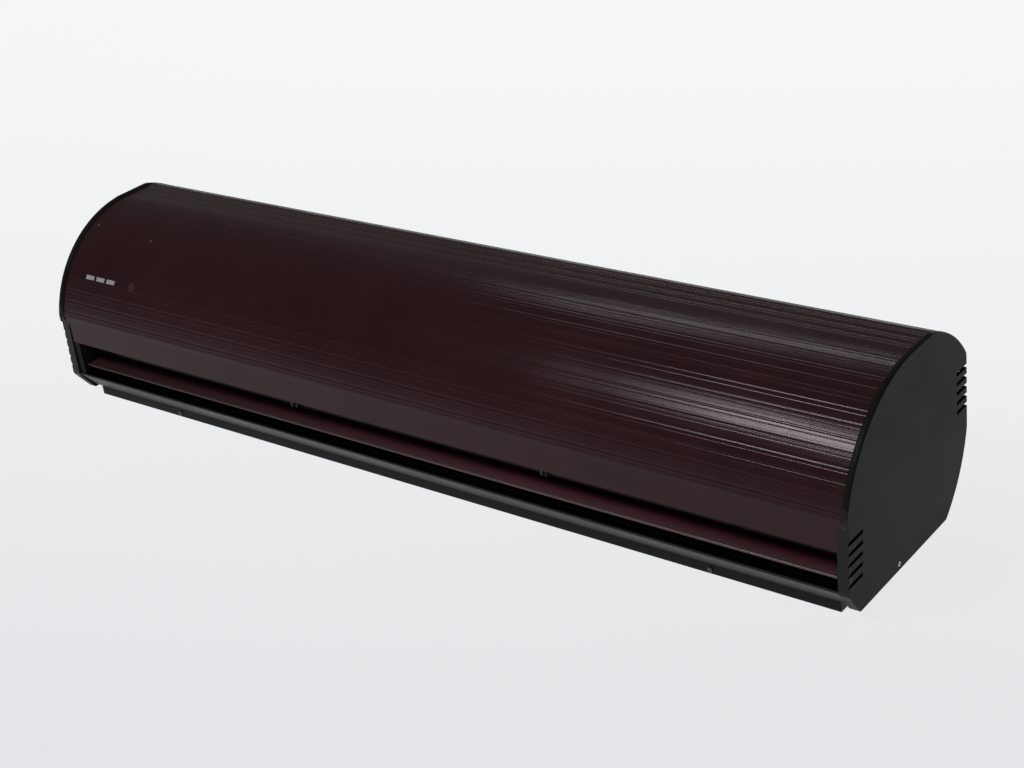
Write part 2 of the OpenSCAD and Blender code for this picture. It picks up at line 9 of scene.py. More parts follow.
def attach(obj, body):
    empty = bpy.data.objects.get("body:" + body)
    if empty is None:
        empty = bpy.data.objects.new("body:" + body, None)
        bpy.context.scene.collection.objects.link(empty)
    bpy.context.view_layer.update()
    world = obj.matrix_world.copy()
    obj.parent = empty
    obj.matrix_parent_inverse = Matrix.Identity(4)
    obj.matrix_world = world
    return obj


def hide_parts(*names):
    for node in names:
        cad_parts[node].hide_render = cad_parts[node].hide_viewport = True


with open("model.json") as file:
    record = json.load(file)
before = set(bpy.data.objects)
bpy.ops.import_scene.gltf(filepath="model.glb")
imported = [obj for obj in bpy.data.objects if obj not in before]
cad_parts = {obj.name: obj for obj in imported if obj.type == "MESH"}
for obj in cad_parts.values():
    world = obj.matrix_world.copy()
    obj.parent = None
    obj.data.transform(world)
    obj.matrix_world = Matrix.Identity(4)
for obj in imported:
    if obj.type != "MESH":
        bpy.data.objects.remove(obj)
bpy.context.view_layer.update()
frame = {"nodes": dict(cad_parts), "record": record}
scene = bpy.context.scene
nodes = frame["nodes"]

# ------------------------------------------------------------------ section measurements, in millimetres
# The section's y runs from the outlet edge to the intake edge and z up from the base's underside; x is the length.
SEC_Y, PLATE_H = 95.75, 8.5
HALF = 500.0
CAP_IN = 489.0
CF, RF = (109.4, 68.0), 128.7
CR, RR = (112.4, 87.7), 115.1
CL, RL = (80.8, 100.1), 128.7
TOP, REAR = 196.7, 207.2
LIP_Z, SILL_Z = 65.0, 26.5
SEAM_Y, SEAM_Z = 150.0, 122.0
SIDE_X = 486.5
JAMB_X = 479.6
PITCH = 12.5


def P(x, y, z):
    """A point of the section at x, in metres, in the row frame."""
    return (x / 1000.0, (y - SEC_Y) / 1000.0, (z + PLATE_H) / 1000.0)


# ------------------------------------------------------------------ materials
def mat_new(name):
    m = bpy.data.materials.new(name)
    m.use_nodes = True
    t = m.node_tree
    t.nodes.clear()
    out = t.nodes.new("ShaderNodeOutputMaterial")
    b = t.nodes.new("ShaderNodeBsdfPrincipled")
    t.links.new(b.outputs["BSDF"], out.inputs["Surface"])
    return m, t, b


def coords(t, scale):
    tc = t.nodes.new("ShaderNodeTexCoord")
    mp = t.nodes.new("ShaderNodeMapping")
    mp.inputs["Scale"].default_value = scale
    t.links.new(tc.outputs["Object"], mp.inputs["Vector"])
    return mp.outputs["Vector"]


def noise(t, vec, scale, detail=3.0, rough=0.55):
    n = t.nodes.new("ShaderNodeTexNoise")
    n.inputs["Scale"].default_value = scale
    n.inputs["Detail"].default_value = detail
    n.inputs["Roughness"].default_value = rough
    t.links.new(vec, n.inputs["Vector"])
    return n.outputs["Fac"]


def ramp(t, fac, stops):
    r = t.nodes.new("ShaderNodeValToRGB")
    r.color_ramp.elements[0].position = stops[0][0]
    r.color_ramp.elements[0].color = (*stops[0][1], 1)
    r.color_ramp.elements[1].position = stops[-1][0]
    r.color_ramp.elements[1].color = (*stops[-1][1], 1)
    for p, c in stops[1:-1]:
        e = r.color_ramp.elements.new(p)
        e.color = (*c, 1)
    t.links.new(fac, r.inputs["Fac"])
    return r.outputs["Color"]


def spread(t, fac, lo, hi, a=0.3, b=0.7):
    m = t.nodes.new("ShaderNodeMapRange")
    m.inputs["From Min"].default_value = a
    m.inputs["From Max"].default_value = b
    m.inputs["To Min"].default_value = lo
    m.inputs["To Max"].default_value = hi
    t.links.new(fac, m.inputs["Value"])
    return m.outputs["Result"]


def bump(t, height, dist, strength=1.0, before=None):
    b = t.nodes.new("ShaderNodeBump")
    b.inputs["Strength"].default_value = strength
    b.inputs["Distance"].default_value = dist
    t.links.new(height, b.inputs["Height"])
    if before is not None:
        t.links.new(before, b.inputs["Normal"])
    return b.outputs["Normal"]


def surface(name, dark, light, rough, metallic=0.0, spec=0.5, grain=900.0, grain_h=0.00003, patch=14.0,
            stretch=(1.0, 1.0, 1.0), streak=None, coat=0.0, spread_rough=0.06, inner=None, tint=None):
    """A moulded, painted or milled surface: colour drifts slowly, roughness varies, and a fine grain roughens it."""
    m, t, b = mat_new(name)
    v = coords(t, stretch)
    slow = noise(t, v, patch, 4.0)
    fine = noise(t, v, grain, 3.0, 0.6)
    col = ramp(t, slow, [(0.3, dark), (0.7, light)])
    if inner:
        col = inner(t, col)
    t.links.new(col, b.inputs["Base Color"])
    t.links.new(spread(t, slow, rough - spread_rough, rough + spread_rough), b.inputs["Roughness"])
    n = bump(t, fine, grain_h)
    if streak:
        sv = coords(t, streak[0])
        n = bump(t, noise(t, sv, streak[1], 3.0, 0.6), streak[2], 1.0, n)
    t.links.new(n, b.inputs["Normal"])
    b.inputs["Metallic"].default_value = metallic
    b.inputs["Specular IOR Level"].default_value = spec
    if tint:
        b.inputs["Specular Tint"].default_value = (*tint, 1)
    if coat:
        b.inputs["Coat Weight"].default_value = coat
        b.inputs["Coat Roughness"].default_value = 0.12
    return m


def along(t, axis, v0, v1, lo, hi):
    """v0 below lo and v1 above hi of one object coordinate, in metres."""
    sep = t.nodes.new("ShaderNodeSeparateXYZ")
    t.links.new(coords(t, (1.0, 1.0, 1.0)), sep.inputs["Vector"])
    return spread(t, sep.outputs[axis], v0, v1, lo, hi)


def times(t, a, b):
    m = t.nodes.new("ShaderNodeMath")
    m.operation = "MULTIPLY"
    t.links.new(a, m.inputs[0])
    t.links.new(b, m.inputs[1])
    return m.outputs[0]


def towards(t, fac, col, other):
    """Mixes a colour towards another one."""
    m = t.nodes.new("ShaderNodeMix")
    m.data_type = "RGBA"
    t.links.new(fac, m.inputs["Factor"])
    t.links.new(col, m.inputs["A"])
    m.inputs["B"].default_value = (*other, 1)
    return m.outputs["Result"]


def sill_painted_shade(t, col):
    """Painted shade: the sill's top, inside the outlet, is coloured as dark as the duct for the shade that falls there.
    """
    band = times(t, along(t, "Z", 0.0, 1.0, 0.0344, 0.0347), along(t, "Z", 1.0, 0.0, 0.0351, 0.0352))
    front = times(t, along(t, "Y", 0.0, 1.0, -0.1116, -0.1112), along(t, "Y", 1.0, 0.0, -0.1024, -0.1020))
    return towards(t, times(t, band, front), col, (0.0012, 0.0006, 0.0008))


def vane_painted_light_and_shade(t, col):
    """Painted light and shade: the vane's front is painted paler where light reaches it past the lip, it is painted
    darker towards the duct for the lip's shade, and its left end is painted darker.
    """
    col = towards(t, along(t, "Y", 0.0, 1.0, -0.0880, -0.0800), col, (0.0100, 0.0020, 0.0040))
    col = towards(t, along(t, "Y", 1.0, 0.0, -0.1050, -0.0930), col, (0.0920, 0.0570, 0.0610))
    return towards(t, along(t, "X", 0.8, 0.0, -0.48, 0.15), col, (0.0260, 0.0120, 0.0150))


def darker_low_screws(t, col):
    """Screws low in the wall plate's front are coloured darker."""
    return towards(t, along(t, "Z", 1.0, 0.0, 0.0082, 0.0086), col, (0.10, 0.10, 0.105))


M = {}
M["cover_wine"] = surface("cover_wine", (0.0208, 0.0065, 0.0074), (0.0285, 0.0090, 0.0102), 0.21, spec=0.17, patch=9.0, grain=1400.0, tint=(1.0, 0.91, 0.94),
                          grain_h=0.000008, spread_rough=0.03, streak=((1.2, 560.0, 560.0), 1.6, 0.00008))
for slot, spec in (("cap_black", 0.045), ("cap_edge", 0.17)):
    M[slot] = surface(slot, (0.0080, 0.0080, 0.0082), (0.0110, 0.0110, 0.0112), 0.42, spec=spec, patch=11.0, grain=1700.0, grain_h=0.00004)
# base_black and base_lip carry painted shade on the sill's top inside the outlet
for slot, spec in (("base_black", 0.05), ("base_lip", 0.18)):
    M[slot] = surface(slot, (0.0085, 0.0055, 0.0057), (0.0120, 0.0078, 0.0081), 0.42, spec=spec, patch=12.0, grain=1300.0, grain_h=0.00004,
                      inner=sill_painted_shade)
M["grille_black"] = surface("grille_black", (0.018, 0.018, 0.019), (0.025, 0.025, 0.026), 0.45, patch=12.0, grain=1500.0, grain_h=0.00003)
M["duct_black"] = surface("duct_black", (0.0045, 0.0012, 0.0018), (0.0070, 0.0022, 0.0030), 0.45, spec=0.2, patch=10.0, grain=1100.0, grain_h=0.00003)
M["plate_black"] = surface("plate_black", (0.0055, 0.0055, 0.0062), (0.0085, 0.0085, 0.0094), 0.45, spec=0.1, patch=13.0, grain=1200.0, grain_h=0.00005)
M["galvanised"] = surface("galvanised", (0.33, 0.34, 0.35), (0.48, 0.49, 0.50), 0.38, metallic=0.9, patch=60.0, grain=500.0, grain_h=0.00002)
# vane_wine carries painted light on its front edge and painted shade towards the duct and at its left end
M["vane_wine"] = surface("vane_wine", (0.070, 0.018, 0.027), (0.090, 0.024, 0.036), 0.24, spec=0.25, patch=9.0, grain=1400.0,
                         grain_h=0.00001, inner=vane_painted_light_and_shade, streak=((1.5, 420.0, 420.0), 1.6, 0.00002))
M["hanger_grey"] = surface("hanger_grey", (0.050, 0.038, 0.040), (0.070, 0.053, 0.056), 0.35, spec=0.4, patch=50.0, grain=700.0, grain_h=0.00002)
M["fan_aluminium"] = surface("fan_aluminium", (0.25, 0.25, 0.26), (0.34, 0.34, 0.35), 0.36, metallic=1.0, patch=20.0, grain=900.0,
                             grain_h=0.00001, streak=((2.0, 300.0, 300.0), 2.0, 0.00002))
M["rubber_black"] = surface("rubber_black", (0.009, 0.009, 0.009), (0.015, 0.015, 0.015), 0.62, spec=0.35, patch=20.0, grain=1500.0, grain_h=0.00003)
M["shaft_steel"] = surface("shaft_steel", (0.44, 0.44, 0.46), (0.55, 0.55, 0.57), 0.22, metallic=1.0, patch=40.0, grain=1200.0,
                           grain_h=0.000006, streak=((300.0, 3.0, 3.0), 3.0, 0.00001))
M["core_iron"] = surface("core_iron", (0.09, 0.09, 0.10), (0.15, 0.15, 0.16), 0.5, metallic=0.8, patch=30.0, grain=900.0,
                         grain_h=0.00002, streak=((1200.0, 2.0, 2.0), 1.0, 0.0001))
M["motor_paint"] = surface("motor_paint", (0.20, 0.21, 0.23), (0.27, 0.28, 0.30), 0.42, patch=20.0, grain=800.0, grain_h=0.00004)
M["winding_copper"] = surface("winding_copper", (0.38, 0.13, 0.045), (0.58, 0.24, 0.10), 0.34, metallic=0.9, patch=90.0, grain=600.0,
                              grain_h=0.0001, coat=0.4)
M["bearing_bronze"] = surface("bearing_bronze", (0.36, 0.22, 0.075), (0.5, 0.32, 0.12), 0.38, metallic=1.0, patch=60.0, grain=900.0, grain_h=0.00003)
M["holder_black"] = surface("holder_black", (0.016, 0.016, 0.016), (0.024, 0.024, 0.024), 0.42, patch=20.0, grain=1500.0, grain_h=0.00003)
M["board_green"] = surface("board_green", (0.012, 0.085, 0.036), (0.022, 0.14, 0.06), 0.3, patch=120.0, grain=600.0, grain_h=0.00003, coat=0.3)
M["relay_blue"] = surface("relay_blue", (0.014, 0.05, 0.22), (0.024, 0.08, 0.33), 0.3, patch=30.0, grain=1500.0, grain_h=0.00001)
M["transformer_yellow"] = surface("transformer_yellow", (0.42, 0.28, 0.035), (0.55, 0.40, 0.07), 0.4, patch=30.0, grain=700.0, grain_h=0.00004)
M["capacitor_white"] = surface("capacitor_white", (0.55, 0.55, 0.53), (0.64, 0.64, 0.62), 0.28, patch=20.0, grain=1500.0, grain_h=0.00001)
M["terminal_white"] = surface("terminal_white", (0.53, 0.51, 0.44), (0.64, 0.62, 0.54), 0.4, patch=30.0, grain=1200.0, grain_h=0.00002)
M["window_grey"] = surface("window_grey", (0.25, 0.25, 0.26), (0.36, 0.36, 0.37), 0.28, patch=160.0, grain=1500.0, grain_h=0.00001, coat=0.2)
M["receiver_dark"] = surface("receiver_dark", (0.030, 0.014, 0.015), (0.040, 0.019, 0.020), 0.2, patch=90.0, grain=1500.0, grain_h=0.00001)
M["screw_zinc"] = surface("screw_zinc", (0.38, 0.38, 0.40), (0.52, 0.52, 0.53), 0.28, metallic=1.0, patch=90.0, grain=900.0, grain_h=0.00002,
                          inner=darker_low_screws)
M["screw_black"] = surface("screw_black", (0.016, 0.016, 0.016), (0.026, 0.026, 0.026), 0.38, patch=90.0, grain=900.0, grain_h=0.00002)

slot_of = {s["node"]: s["material_slot"] for s in frame["record"]["subparts"]}
for name, obj in nodes.items():
    obj.data.materials.clear()
    obj.data.materials.append(M[slot_of[name]])


# ------------------------------------------------------------------ mesh helpers
def arc_y(z, r):
    """The front curve's y at height z, for a curve of radius r about its centre."""
    return CF[0] - math.sqrt(r * r - (z - CF[1]) ** 2)


def smooth01(a):
    a = min(max(a, 0.0), 1.0)
    return a * a * (3 - 2 * a)


def mix(a, b, t):
    return a + (b - a) * t


def table(x, pts):
    """Straight lines between the points of a table."""
    if x <= pts[0][0]:
        return pts[0][1]
    for (x0, v0), (x1, v1) in zip(pts, pts[1:]):
        if x <= x1:
            return mix(v0, v1, (x - x0) / (x1 - x0))
    return pts[-1][1]


def mesh_piece(name, verts, faces, mat, sharp=30.0):
    """An object from points in metres of the row frame, smooth apart from its sharp edges."""
    me = bpy.data.meshes.new(name)
    me.from_pydata(verts, [], faces)
    bm = bmesh.new()
    bm.from_mesh(me)
    bmesh.ops.recalc_face_normals(bm, faces=bm.faces)
    bm.to_mesh(me)
    bm.free()
    me.materials.append(mat)
    ob = bpy.data.objects.new(name, me)
    scene.collection.objects.link(ob)
    soften(ob, sharp)
    return ob


def soften(ob, sharp=30.0):
    me = ob.data
    me.polygons.foreach_set("use_smooth", [True] * len(me.polygons))
    me.set_sharp_from_angle(angle=math.radians(sharp))
    me.update()


def grid_faces(rows, n, closed=True):
    """Quads between rows of n points each; closed joins the last point of a row to its first."""
    out = []
    for a in range(rows - 1):
        for i in range(n if closed else n - 1):
            j = (i + 1) % n
            out.append((a * n + i, a * n + j, (a + 1) * n + j, (a + 1) * n + i))
    return out


def sweep(section, xs):
    """A closed section of (y, z) points carried along X through the given stations, with both ends shut."""
    n = len(section)
    verts = [P(x, y, z) for x in xs for y, z in section]
    faces = grid_faces(len(xs), n)
    faces.append(tuple(range(n))[::-1])
    faces.append(tuple((len(xs) - 1) * n + i for i in range(n)))
    return verts, faces


def join_parts(parts):
    verts, faces = [], []
    for v, f in parts:
        k = len(verts)
        verts += v
        faces += [tuple(i + k for i in q) for q in f]
    return verts, faces


def box_part(x0, x1, y0, y1, z0, z1):
    return sweep([(y0, z0), (y1, z0), (y1, z1), (y0, z1)], [x0, x1])


def prism(centre, u, v, w, pts, lo, hi):
    """A closed outline of pts in the plane of u and v, carried along w from lo to hi; centre in row metres, the rest in mm."""
    c, u, v, w = Vector(centre), Vector(u), Vector(v), Vector(w)
    n = len(pts)
    verts = [tuple(c + (u * a + v * b + w * h) / 1000.0) for h in (lo, hi) for a, b in pts]
    return verts, grid_faces(2, n) + [tuple(range(n))[::-1], tuple(n + i for i in range(n))]


def circle_pts(r, n=40):
    return [(r * math.cos(2 * math.pi * i / n), r * math.sin(2 * math.pi * i / n)) for i in range(n)]


def rounded_rect(a, b, r, n=5):
    """Half sizes a and b, corner radius r."""
    out = []
    for cx, cy, s in ((a - r, b - r, 0), (-a + r, b - r, 90), (-a + r, -b + r, 180), (a - r, -b + r, 270)):
        for i in range(n + 1):
            q = math.radians(s + 90 * i / n)
            out.append((cx + r * math.cos(q), cy + r * math.sin(q)))
    return out


def radial_frame(x, ang):
    """Outward direction, direction along the length and direction round the curve, at an angle of the front curve."""
    a = math.radians(ang)
    return Vector((0, math.cos(a), math.sin(a))), Vector((1, 0, 0)), Vector((0, -math.sin(a), math.cos(a)))


def on_front(x, ang, r):
    a = math.radians(ang)
    return Vector(P(x, CF[0] + r * math.cos(a), CF[1] + r * math.sin(a)))


def boolean(ob, cutter_parts, how="DIFFERENCE"):
    v, f = join_parts(cutter_parts)
    me = bpy.data.meshes.new("cutter")
    me.from_pydata(v, [], f)
    bm = bmesh.new()
    bm.from_mesh(me)
    bmesh.ops.recalc_face_normals(bm, faces=bm.faces)
    bm.to_mesh(me)
    bm.free()
    cutter = bpy.data.objects.new("cutter", me)
    scene.collection.objects.link(cutter)
    md = ob.modifiers.new("cut", "BOOLEAN")
    md.operation = how
    md.solver = "EXACT"
    md.object = cutter
    deps = bpy.context.evaluated_depsgraph_get()
    new = bpy.data.meshes.new_from_object(ob.evaluated_get(deps))
    ob.modifiers.clear()
    old = ob.data
    ob.data = new
    bpy.data.meshes.remove(old)
    bpy.data.objects.remove(cutter)
    bpy.data.meshes.remove(me)


def second_finish(ob, mat, test):
    """The faces whose middle passes the test take a second finish of the same colour."""
    ob.data.materials.append(mat)
    for q in ob.data.polygons:
        if test(q.center):
            q.material_index = 1


# ------------------------------------------------------------------ front cover
# Distance to the nearest groove is u; the cover's surface lies a little under its full radius everywhere else.
GROOVE_STEP = math.degrees(PITCH / RF)
GROOVES = [163.8 - GROOVE_STEP * i for i in range(13)]
TOP_GROOVES = [119.0, 131.5, 144.0]
GROOVE_HALF, GROOVE_DEEP = 1.3, 0.22
FINE_AT, FINE_HALF, FINE_DEEP = -4.0, 0.75, 0.11


def relief(u):
    """Depth under the full radius at the distance u from a groove's middle: a round groove, a fine one beside it, a faint crown."""
    a = abs(u)
    h = -0.03 * smooth01((a - 1.3) / 4.9)
    if a < GROOVE_HALF + 0.22:
        deep = -GROOVE_DEEP * max(1 - (a / GROOVE_HALF) ** 2, 0.0)
        if a > GROOVE_HALF - 0.22:
            k = (a - GROOVE_HALF + 0.22) / 0.44
            deep = -GROOVE_DEEP * (1 - ((GROOVE_HALF - 0.22) / GROOVE_HALF) ** 2) * (1 - k) ** 2
        h += deep
    v = abs(u - FINE_AT)
    if v < FINE_HALF:
        h -= FINE_DEEP * (1 - (v / FINE_HALF) ** 2) ** 2
    return h


FINE = [0.0, 0.2, 0.4, 0.6, 0.8, 0.95, 1.08, 1.14, 1.2, 1.26, 1.32, 1.4, 1.52]
FINE += [4.0, 4.15, 3.85, 4.3, 3.7, 4.45, 3.55, 4.6, 3.4, 4.75, 3.25]


def cover_section():
    pts = [(-15.4, LIP_Z + 0.5), (-15.4, 80.0), (-15.4, 95.3), (-15.46, 95.8)]
    start = math.degrees(math.pi - math.asin(28.0 / RF))
    steps = []
    # arc length from the first groove, negative below it
    s_lo = -math.radians(start - GROOVES[0]) * RF
    s_hi = math.radians(GROOVES[0] - 90.0) * RF
    s = s_lo
    marks = set()
    for g in range(13):
        for a in FINE:
            marks.add(round(g * PITCH + a, 3))
            marks.add(round(g * PITCH - a, 3))
    s = s_lo
    while s < s_hi:
        near = abs(s - PITCH * round(s / PITCH))
        if not (near < 1.55 and -1.0 < s < 12 * PITCH + 2):
            marks.add(round(s, 3))
        s += 0.42
    marks.add(round(s_lo, 3))
    for s in sorted(m for m in marks if s_lo <= m <= s_hi):
        ang = math.radians(GROOVES[0]) - s / RF
        k = min(max(round(s / PITCH), 0), 12)
        u = s - k * PITCH
        h = relief(u) if abs(u) <= PITCH / 2 + 0.01 else -0.03
        if s - s_lo < 0.9:
            h = mix(-0.35, h, smooth01((s - s_lo) / 0.9))
        r = RF + h
        pts.append((CF[0] + r * math.cos(ang), CF[1] + r * math.sin(ang)))
    ys = set()
    for g in TOP_GROOVES:
        for a in FINE:
            ys.add(round(g + a, 3))
            ys.add(round(g - a, 3))
    y = 110.0
    while y < 149.2:
        if min(abs(y - g) for g in TOP_GROOVES) > 1.55:
            ys.add(round(y, 3))
        y += 0.42
    for y in sorted(v for v in ys if v > 109.9):
        u = min((y - g for g in TOP_GROOVES), key=abs)
        h = relief(u) if abs(u) <= PITCH / 2 + 0.01 else -0.03
        pts.append((y, TOP + h))
    pts.append((149.5, TOP - 0.12))
    pts.append((SEAM_Y - 0.1, TOP - 0.45))
    # inner side, back to the lip
    pts.append((SEAM_Y - 0.1, TOP - 2.0))
    pts.append((109.4, TOP - 2.0))
    for d in range(94, 167, 4):
        a = math.radians(d)
        pts.append((CF[0] + (RF - 2) * math.cos(a), CF[1] + (RF - 2) * math.sin(a)))
    pts.append((-13.4, 95.0))
    pts.append((-13.4, LIP_Z))
    pts.append((-14.9, LIP_Z))
    return pts


COVER_END = 492.8
v, f = sweep(cover_section(), [-COVER_END, -COVER_END + 0.0, COVER_END][0::2])
cover = mesh_piece("front_cover_shell", v, f, M["cover_wine"], 35.0)
boolean(cover, [box_part(-486.4, 486.4, -14.2, -7.0, LIP_Z, LIP_Z + 2.0)], "UNION")
cuts = []
for i in range(3):
    w, u, t = radial_frame(0, 144.4)
    cuts.append(prism(on_front(-HALF + 44 + 17 * i, 144.4, RF), u, t, w, rounded_rect(6.7, 2.5, 0.6), -7, 2))
w, u, t = radial_frame(0, 144.4)
cuts.append(prism(on_front(-HALF + 112.6, 144.4, RF), u, t, w, circle_pts(5.3), -7, 2))
for px, pa in ((18.1, 116.3), (110.4, 119.1)):
    w, u, t = radial_frame(0, pa)
    cuts.append(prism(on_front(-HALF + px, pa, RF), u, t, w, circle_pts(0.95, 20), -7, 2))
cuts.append(box_part(488.8, 510, -30, 0, 60, 88.2))
cuts.append(box_part(-510, -486.9, -30, 0, 60, 88.2))
for x in (-450, -270, -90, 90, 270, 450):
    cuts.append(prism(P(x, -10, 66), (1, 0, 0), (0, 1, 0), (0, 0, 1), circle_pts(1.7, 24), -4, 4))
boolean(cover, cuts)
soften(cover, 35.0)
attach(cover, "chassis")
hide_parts("front_cover")


# ------------------------------------------------------------------ end caps
# Distance from the outer face against how far the rim is drawn in there
RIM = [(0.0, 1.05), (0.4, 0.62), (0.9, 0.36), (1.8, 0.14), (3.0, 0.03), (3.9, 0.0), (4.7, 0.04), (5.2, 0.2), (5.7, 0.6), (6.2, 1.25), (6.6, 1.95), (7.0, 2.3)]
EAR = [(0.0, 0.25), (0.25, 0.06), (0.6, 0.0), (11.0, 0.0)]
PLAIN = [(0.0, 0.9), (0.4, 0.45), (0.9, 0.12), (1.6, 0.0), (11.0, 0.0)]


def cap_outline():
    """Points round a cap: kind, place, and how deep the cap's wall reaches along the length there."""
    out = []
    for z in [25.5, 30, 40, 50, 60, 70, 78, 84, 86, 87, 88.0]:
        out.append(("front", z, 11.0))
    for z in [88.15] + [89 + 0.75 * i for i in range(30)]:
        out.append(("front", z, 7.0))
    n = 36
    for i in range(n + 1):
        out.append(("cf", mix(160.4, 93.3, i / n), 7.0))
    for y in (112.0, 122.0, 132.0, 140.0):
        out.append(("top", y, 7.0))
    for i in range(27):
        out.append(("cr", mix(74.2, 33.4, i / 26), 7.0))
    for z in (146.0, 134.0, 122.1):
        out.append(("rear", z, 7.0))
    for z in (121.9, 110.0, 98.0, 86.0, 77.0):
        out.append(("rear", z, 11.0))
    for i in range(25):
        out.append(("cl", mix(-11.4, -49.2, i / 24), 11.0))
    for y in (163.5, 140.0, 110.0, 80.0, 50.0, 20.0, 2.0):
        out.append(("bottom", y, 11.0))
    for a in (0.0, 0.03, 0.10, 0.5, 0.9, 0.97):
        out.append(("chamfer", a, 11.0))
    out.append(("corner", 0.0, 11.0))
    return out


def cap_point(kind, a, t, extra=0.0):
    """The (y, z) of an outline point at the distance t from the outer face; extra draws it further in."""
    if kind == "front":
        y_ear = -17.7 + (a - 25.5) * 2.2 / 65.5 + table(t, EAR)
        flush = mix(y_ear, arc_y(a, RF + 0.25), smooth01((a - 89.0) / 7.0)) if a > 89 else y_ear
        d = table(t, RIM)
        rim_y = max(-18.0 + 0.65 * d, arc_y(a, 131.2 - d))
        edge = 88.6 + 18.0 * min(t, 7.0) / 7.0
        k = smooth01((a - edge + 0.6) / 2.6)
        return mix(flush, rim_y, k) + extra, a
    if kind == "cf":
        d = table(t, RIM) + extra
        q = math.radians(a)
        return CF[0] + (131.2 - d) * math.cos(q), CF[1] + (131.2 - d) * math.sin(q)
    if kind == "top":
        return a, 199.0 - table(t, RIM) - extra
    if kind == "cr":
        k = smooth01((74.2 - a) / 20.0)
        d = mix(table(t, RIM), min(table(t, RIM), 0.25 if t > 4.7 else 9.0), k) + extra
        q = math.radians(a)
        return CR[0] + (115.4 - d) * math.cos(q), CR[1] + (115.4 - d) * math.sin(q)
    if kind == "rear":
        return 209.5 - table(t, PLAIN) - extra, a
    if kind == "cl":
        d = table(t, PLAIN) + extra
        q = math.radians(a)
        return CL[0] + (131.0 - d) * math.cos(q), CL[1] + (131.0 - d) * math.sin(q)
    d = table(t, EAR) + extra
    if kind == "bottom":
        return a, d
    y0, z0, y1, z1 = 0.513 * d, d, -16.9 + d, 22.6 + 0.321 * d
    if kind == "chamfer":
        return mix(y0, y1, a), mix(z0, z1, a)
    return y1, z1


def cap_mesh(side):
    ol = cap_outline()
    n = len(ol)
    ts = [0.0, 0.25, 0.5, 0.9, 1.3, 1.8, 2.4, 3.0, 3.5, 3.9, 4.3, 4.7, 5.05, 5.4, 5.7, 6.0, 6.25, 6.5, 6.75]
    rows = [[(t, cap_point(k, a, t)) for k, a, depth in ol] for t in ts]
    rows.append([(depth, cap_point(k, a, depth)) for k, a, depth in ol])
    rows.append([(depth, cap_point(k, a, 7.0, 1.9)) for k, a, depth in ol])
    rows.append([(3.0, cap_point(k, a, 4.7, 2.4)) for k, a, depth in ol])
    verts = []
    for row in rows:
        for t, (y, z) in row:
            verts.append(P(side * (HALF - t), y, z))
    faces = grid_faces(len(rows), n)
    faces.append(tuple(range(n))[::-1])
    faces.append(tuple((len(rows) - 1) * n + i for i in range(n)))
    return verts, faces


def x_cyl(side, t0, t1, y, z, r, n=40):
    return sweep([(y + a, z + b) for a, b in circle_pts(r, n)], sorted((side * (HALF - t0), side * (HALF - t1))))


for side, label in ((-1, "left"), (1, "right")):
    v, f = cap_mesh(side)
    cap = mesh_piece("cap_shell_" + label, v, f, M["cap_black"], 28.0)
    def bx(t0, t1, y0, y1, z0, z1):
        a, b = sorted((side * (HALF - t0), side * (HALF - t1)))
        return box_part(a, b, y0, y1, z0, z1)
    bv, bf = x_cyl(side, 2.9, 11.0, 72.7, 5.5, 5.0)
    boolean(cap, [(bv, bf)], "UNION")
    boolean(cap, [bx(2.9, 17.5, 92, 108, 182, 184)], "UNION")
    boolean(cap, [bx(2.9, 17.5, 196, 198, 70, 86)], "UNION")
    a, b = sorted((side * 489.05, side * 490.5))
    boolean(cap, [sweep([(-16.45, 27.0), (-11.0, 27.0), (-11.0, 87.0), (-14.43, 87.0)], [a, b])], "UNION")
    boolean(cap, [bx(9.6, 11.95, -13.3, -11.2, 27.5, 86.5)], "UNION")
    slots = [bx(-1.0, 3.4, -14.0, 5.9 + 0.65 * i, 33.3 + 10.3 * i, 37.3 + 10.3 * i) for i in range(5)]
    slots += [bx(-1.0, 3.4, 188.0, 230.0, 96.5 + 9.65 * i, 100.5 + 9.65 * i) for i in range(5)]
    boolean(cap, slots + [x_cyl(side, -1.0, 1.9, 72.7, 5.5, 3.2)])
    boolean(cap, [bx(-1.0, 1.4, -30.0, -10.0, 33.3 + 10.3 * i, 37.3 + 10.3 * i) for i in range(5)] + [x_cyl(side, 1.0, 13.0, 72.7, 5.5, 1.6, 24)])
    soften(cap, 28.0)
    second_finish(cap, M["cap_edge"], lambda c: c.y < -0.1108)
    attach(cap, "chassis")
    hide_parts("end_cap_" + label)


# ------------------------------------------------------------------ base shell
def fillets(pts, n=7):
    """A path of (y, z, r) corners, each rounded with its own radius r."""
    out = []
    m = len(pts)
    for i, (y, z, r) in enumerate(pts):
        if r <= 0:
            out.append((y, z))
            continue
        p = Vector((y, z))
        a = (Vector(pts[i - 1][:2]) - p).normalized()
        b = (Vector(pts[(i + 1) % m][:2]) - p).normalized()
        half_angle = a.angle(b) / 2
        reach = r / math.tan(half_angle)
        mid = p + (a + b).normalized() * (r / math.sin(half_angle))
        s, e = p + a * reach, p + b * reach
        a0 = math.atan2(s.y - mid.y, s.x - mid.x)
        a1 = math.atan2(e.y - mid.y, e.x - mid.x)
        while a1 - a0 > math.pi:
            a1 -= 2 * math.pi
        while a1 - a0 < -math.pi:
            a1 += 2 * math.pi
        for k in range(n + 1):
            q = mix(a0, a1, k / n)
            out.append((mid.x + r * math.cos(q), mid.y + r * math.sin(q)))
    return out


def arc_pts(c, r, a0, a1, n):
    return [(c[0] + r * math.cos(math.radians(mix(a0, a1, i / n))), c[1] + r * math.sin(math.radians(mix(a0, a1, i / n))), 0) for i in range(n + 1)]


BASE_Z, BASE_END = 3.2, 488.8


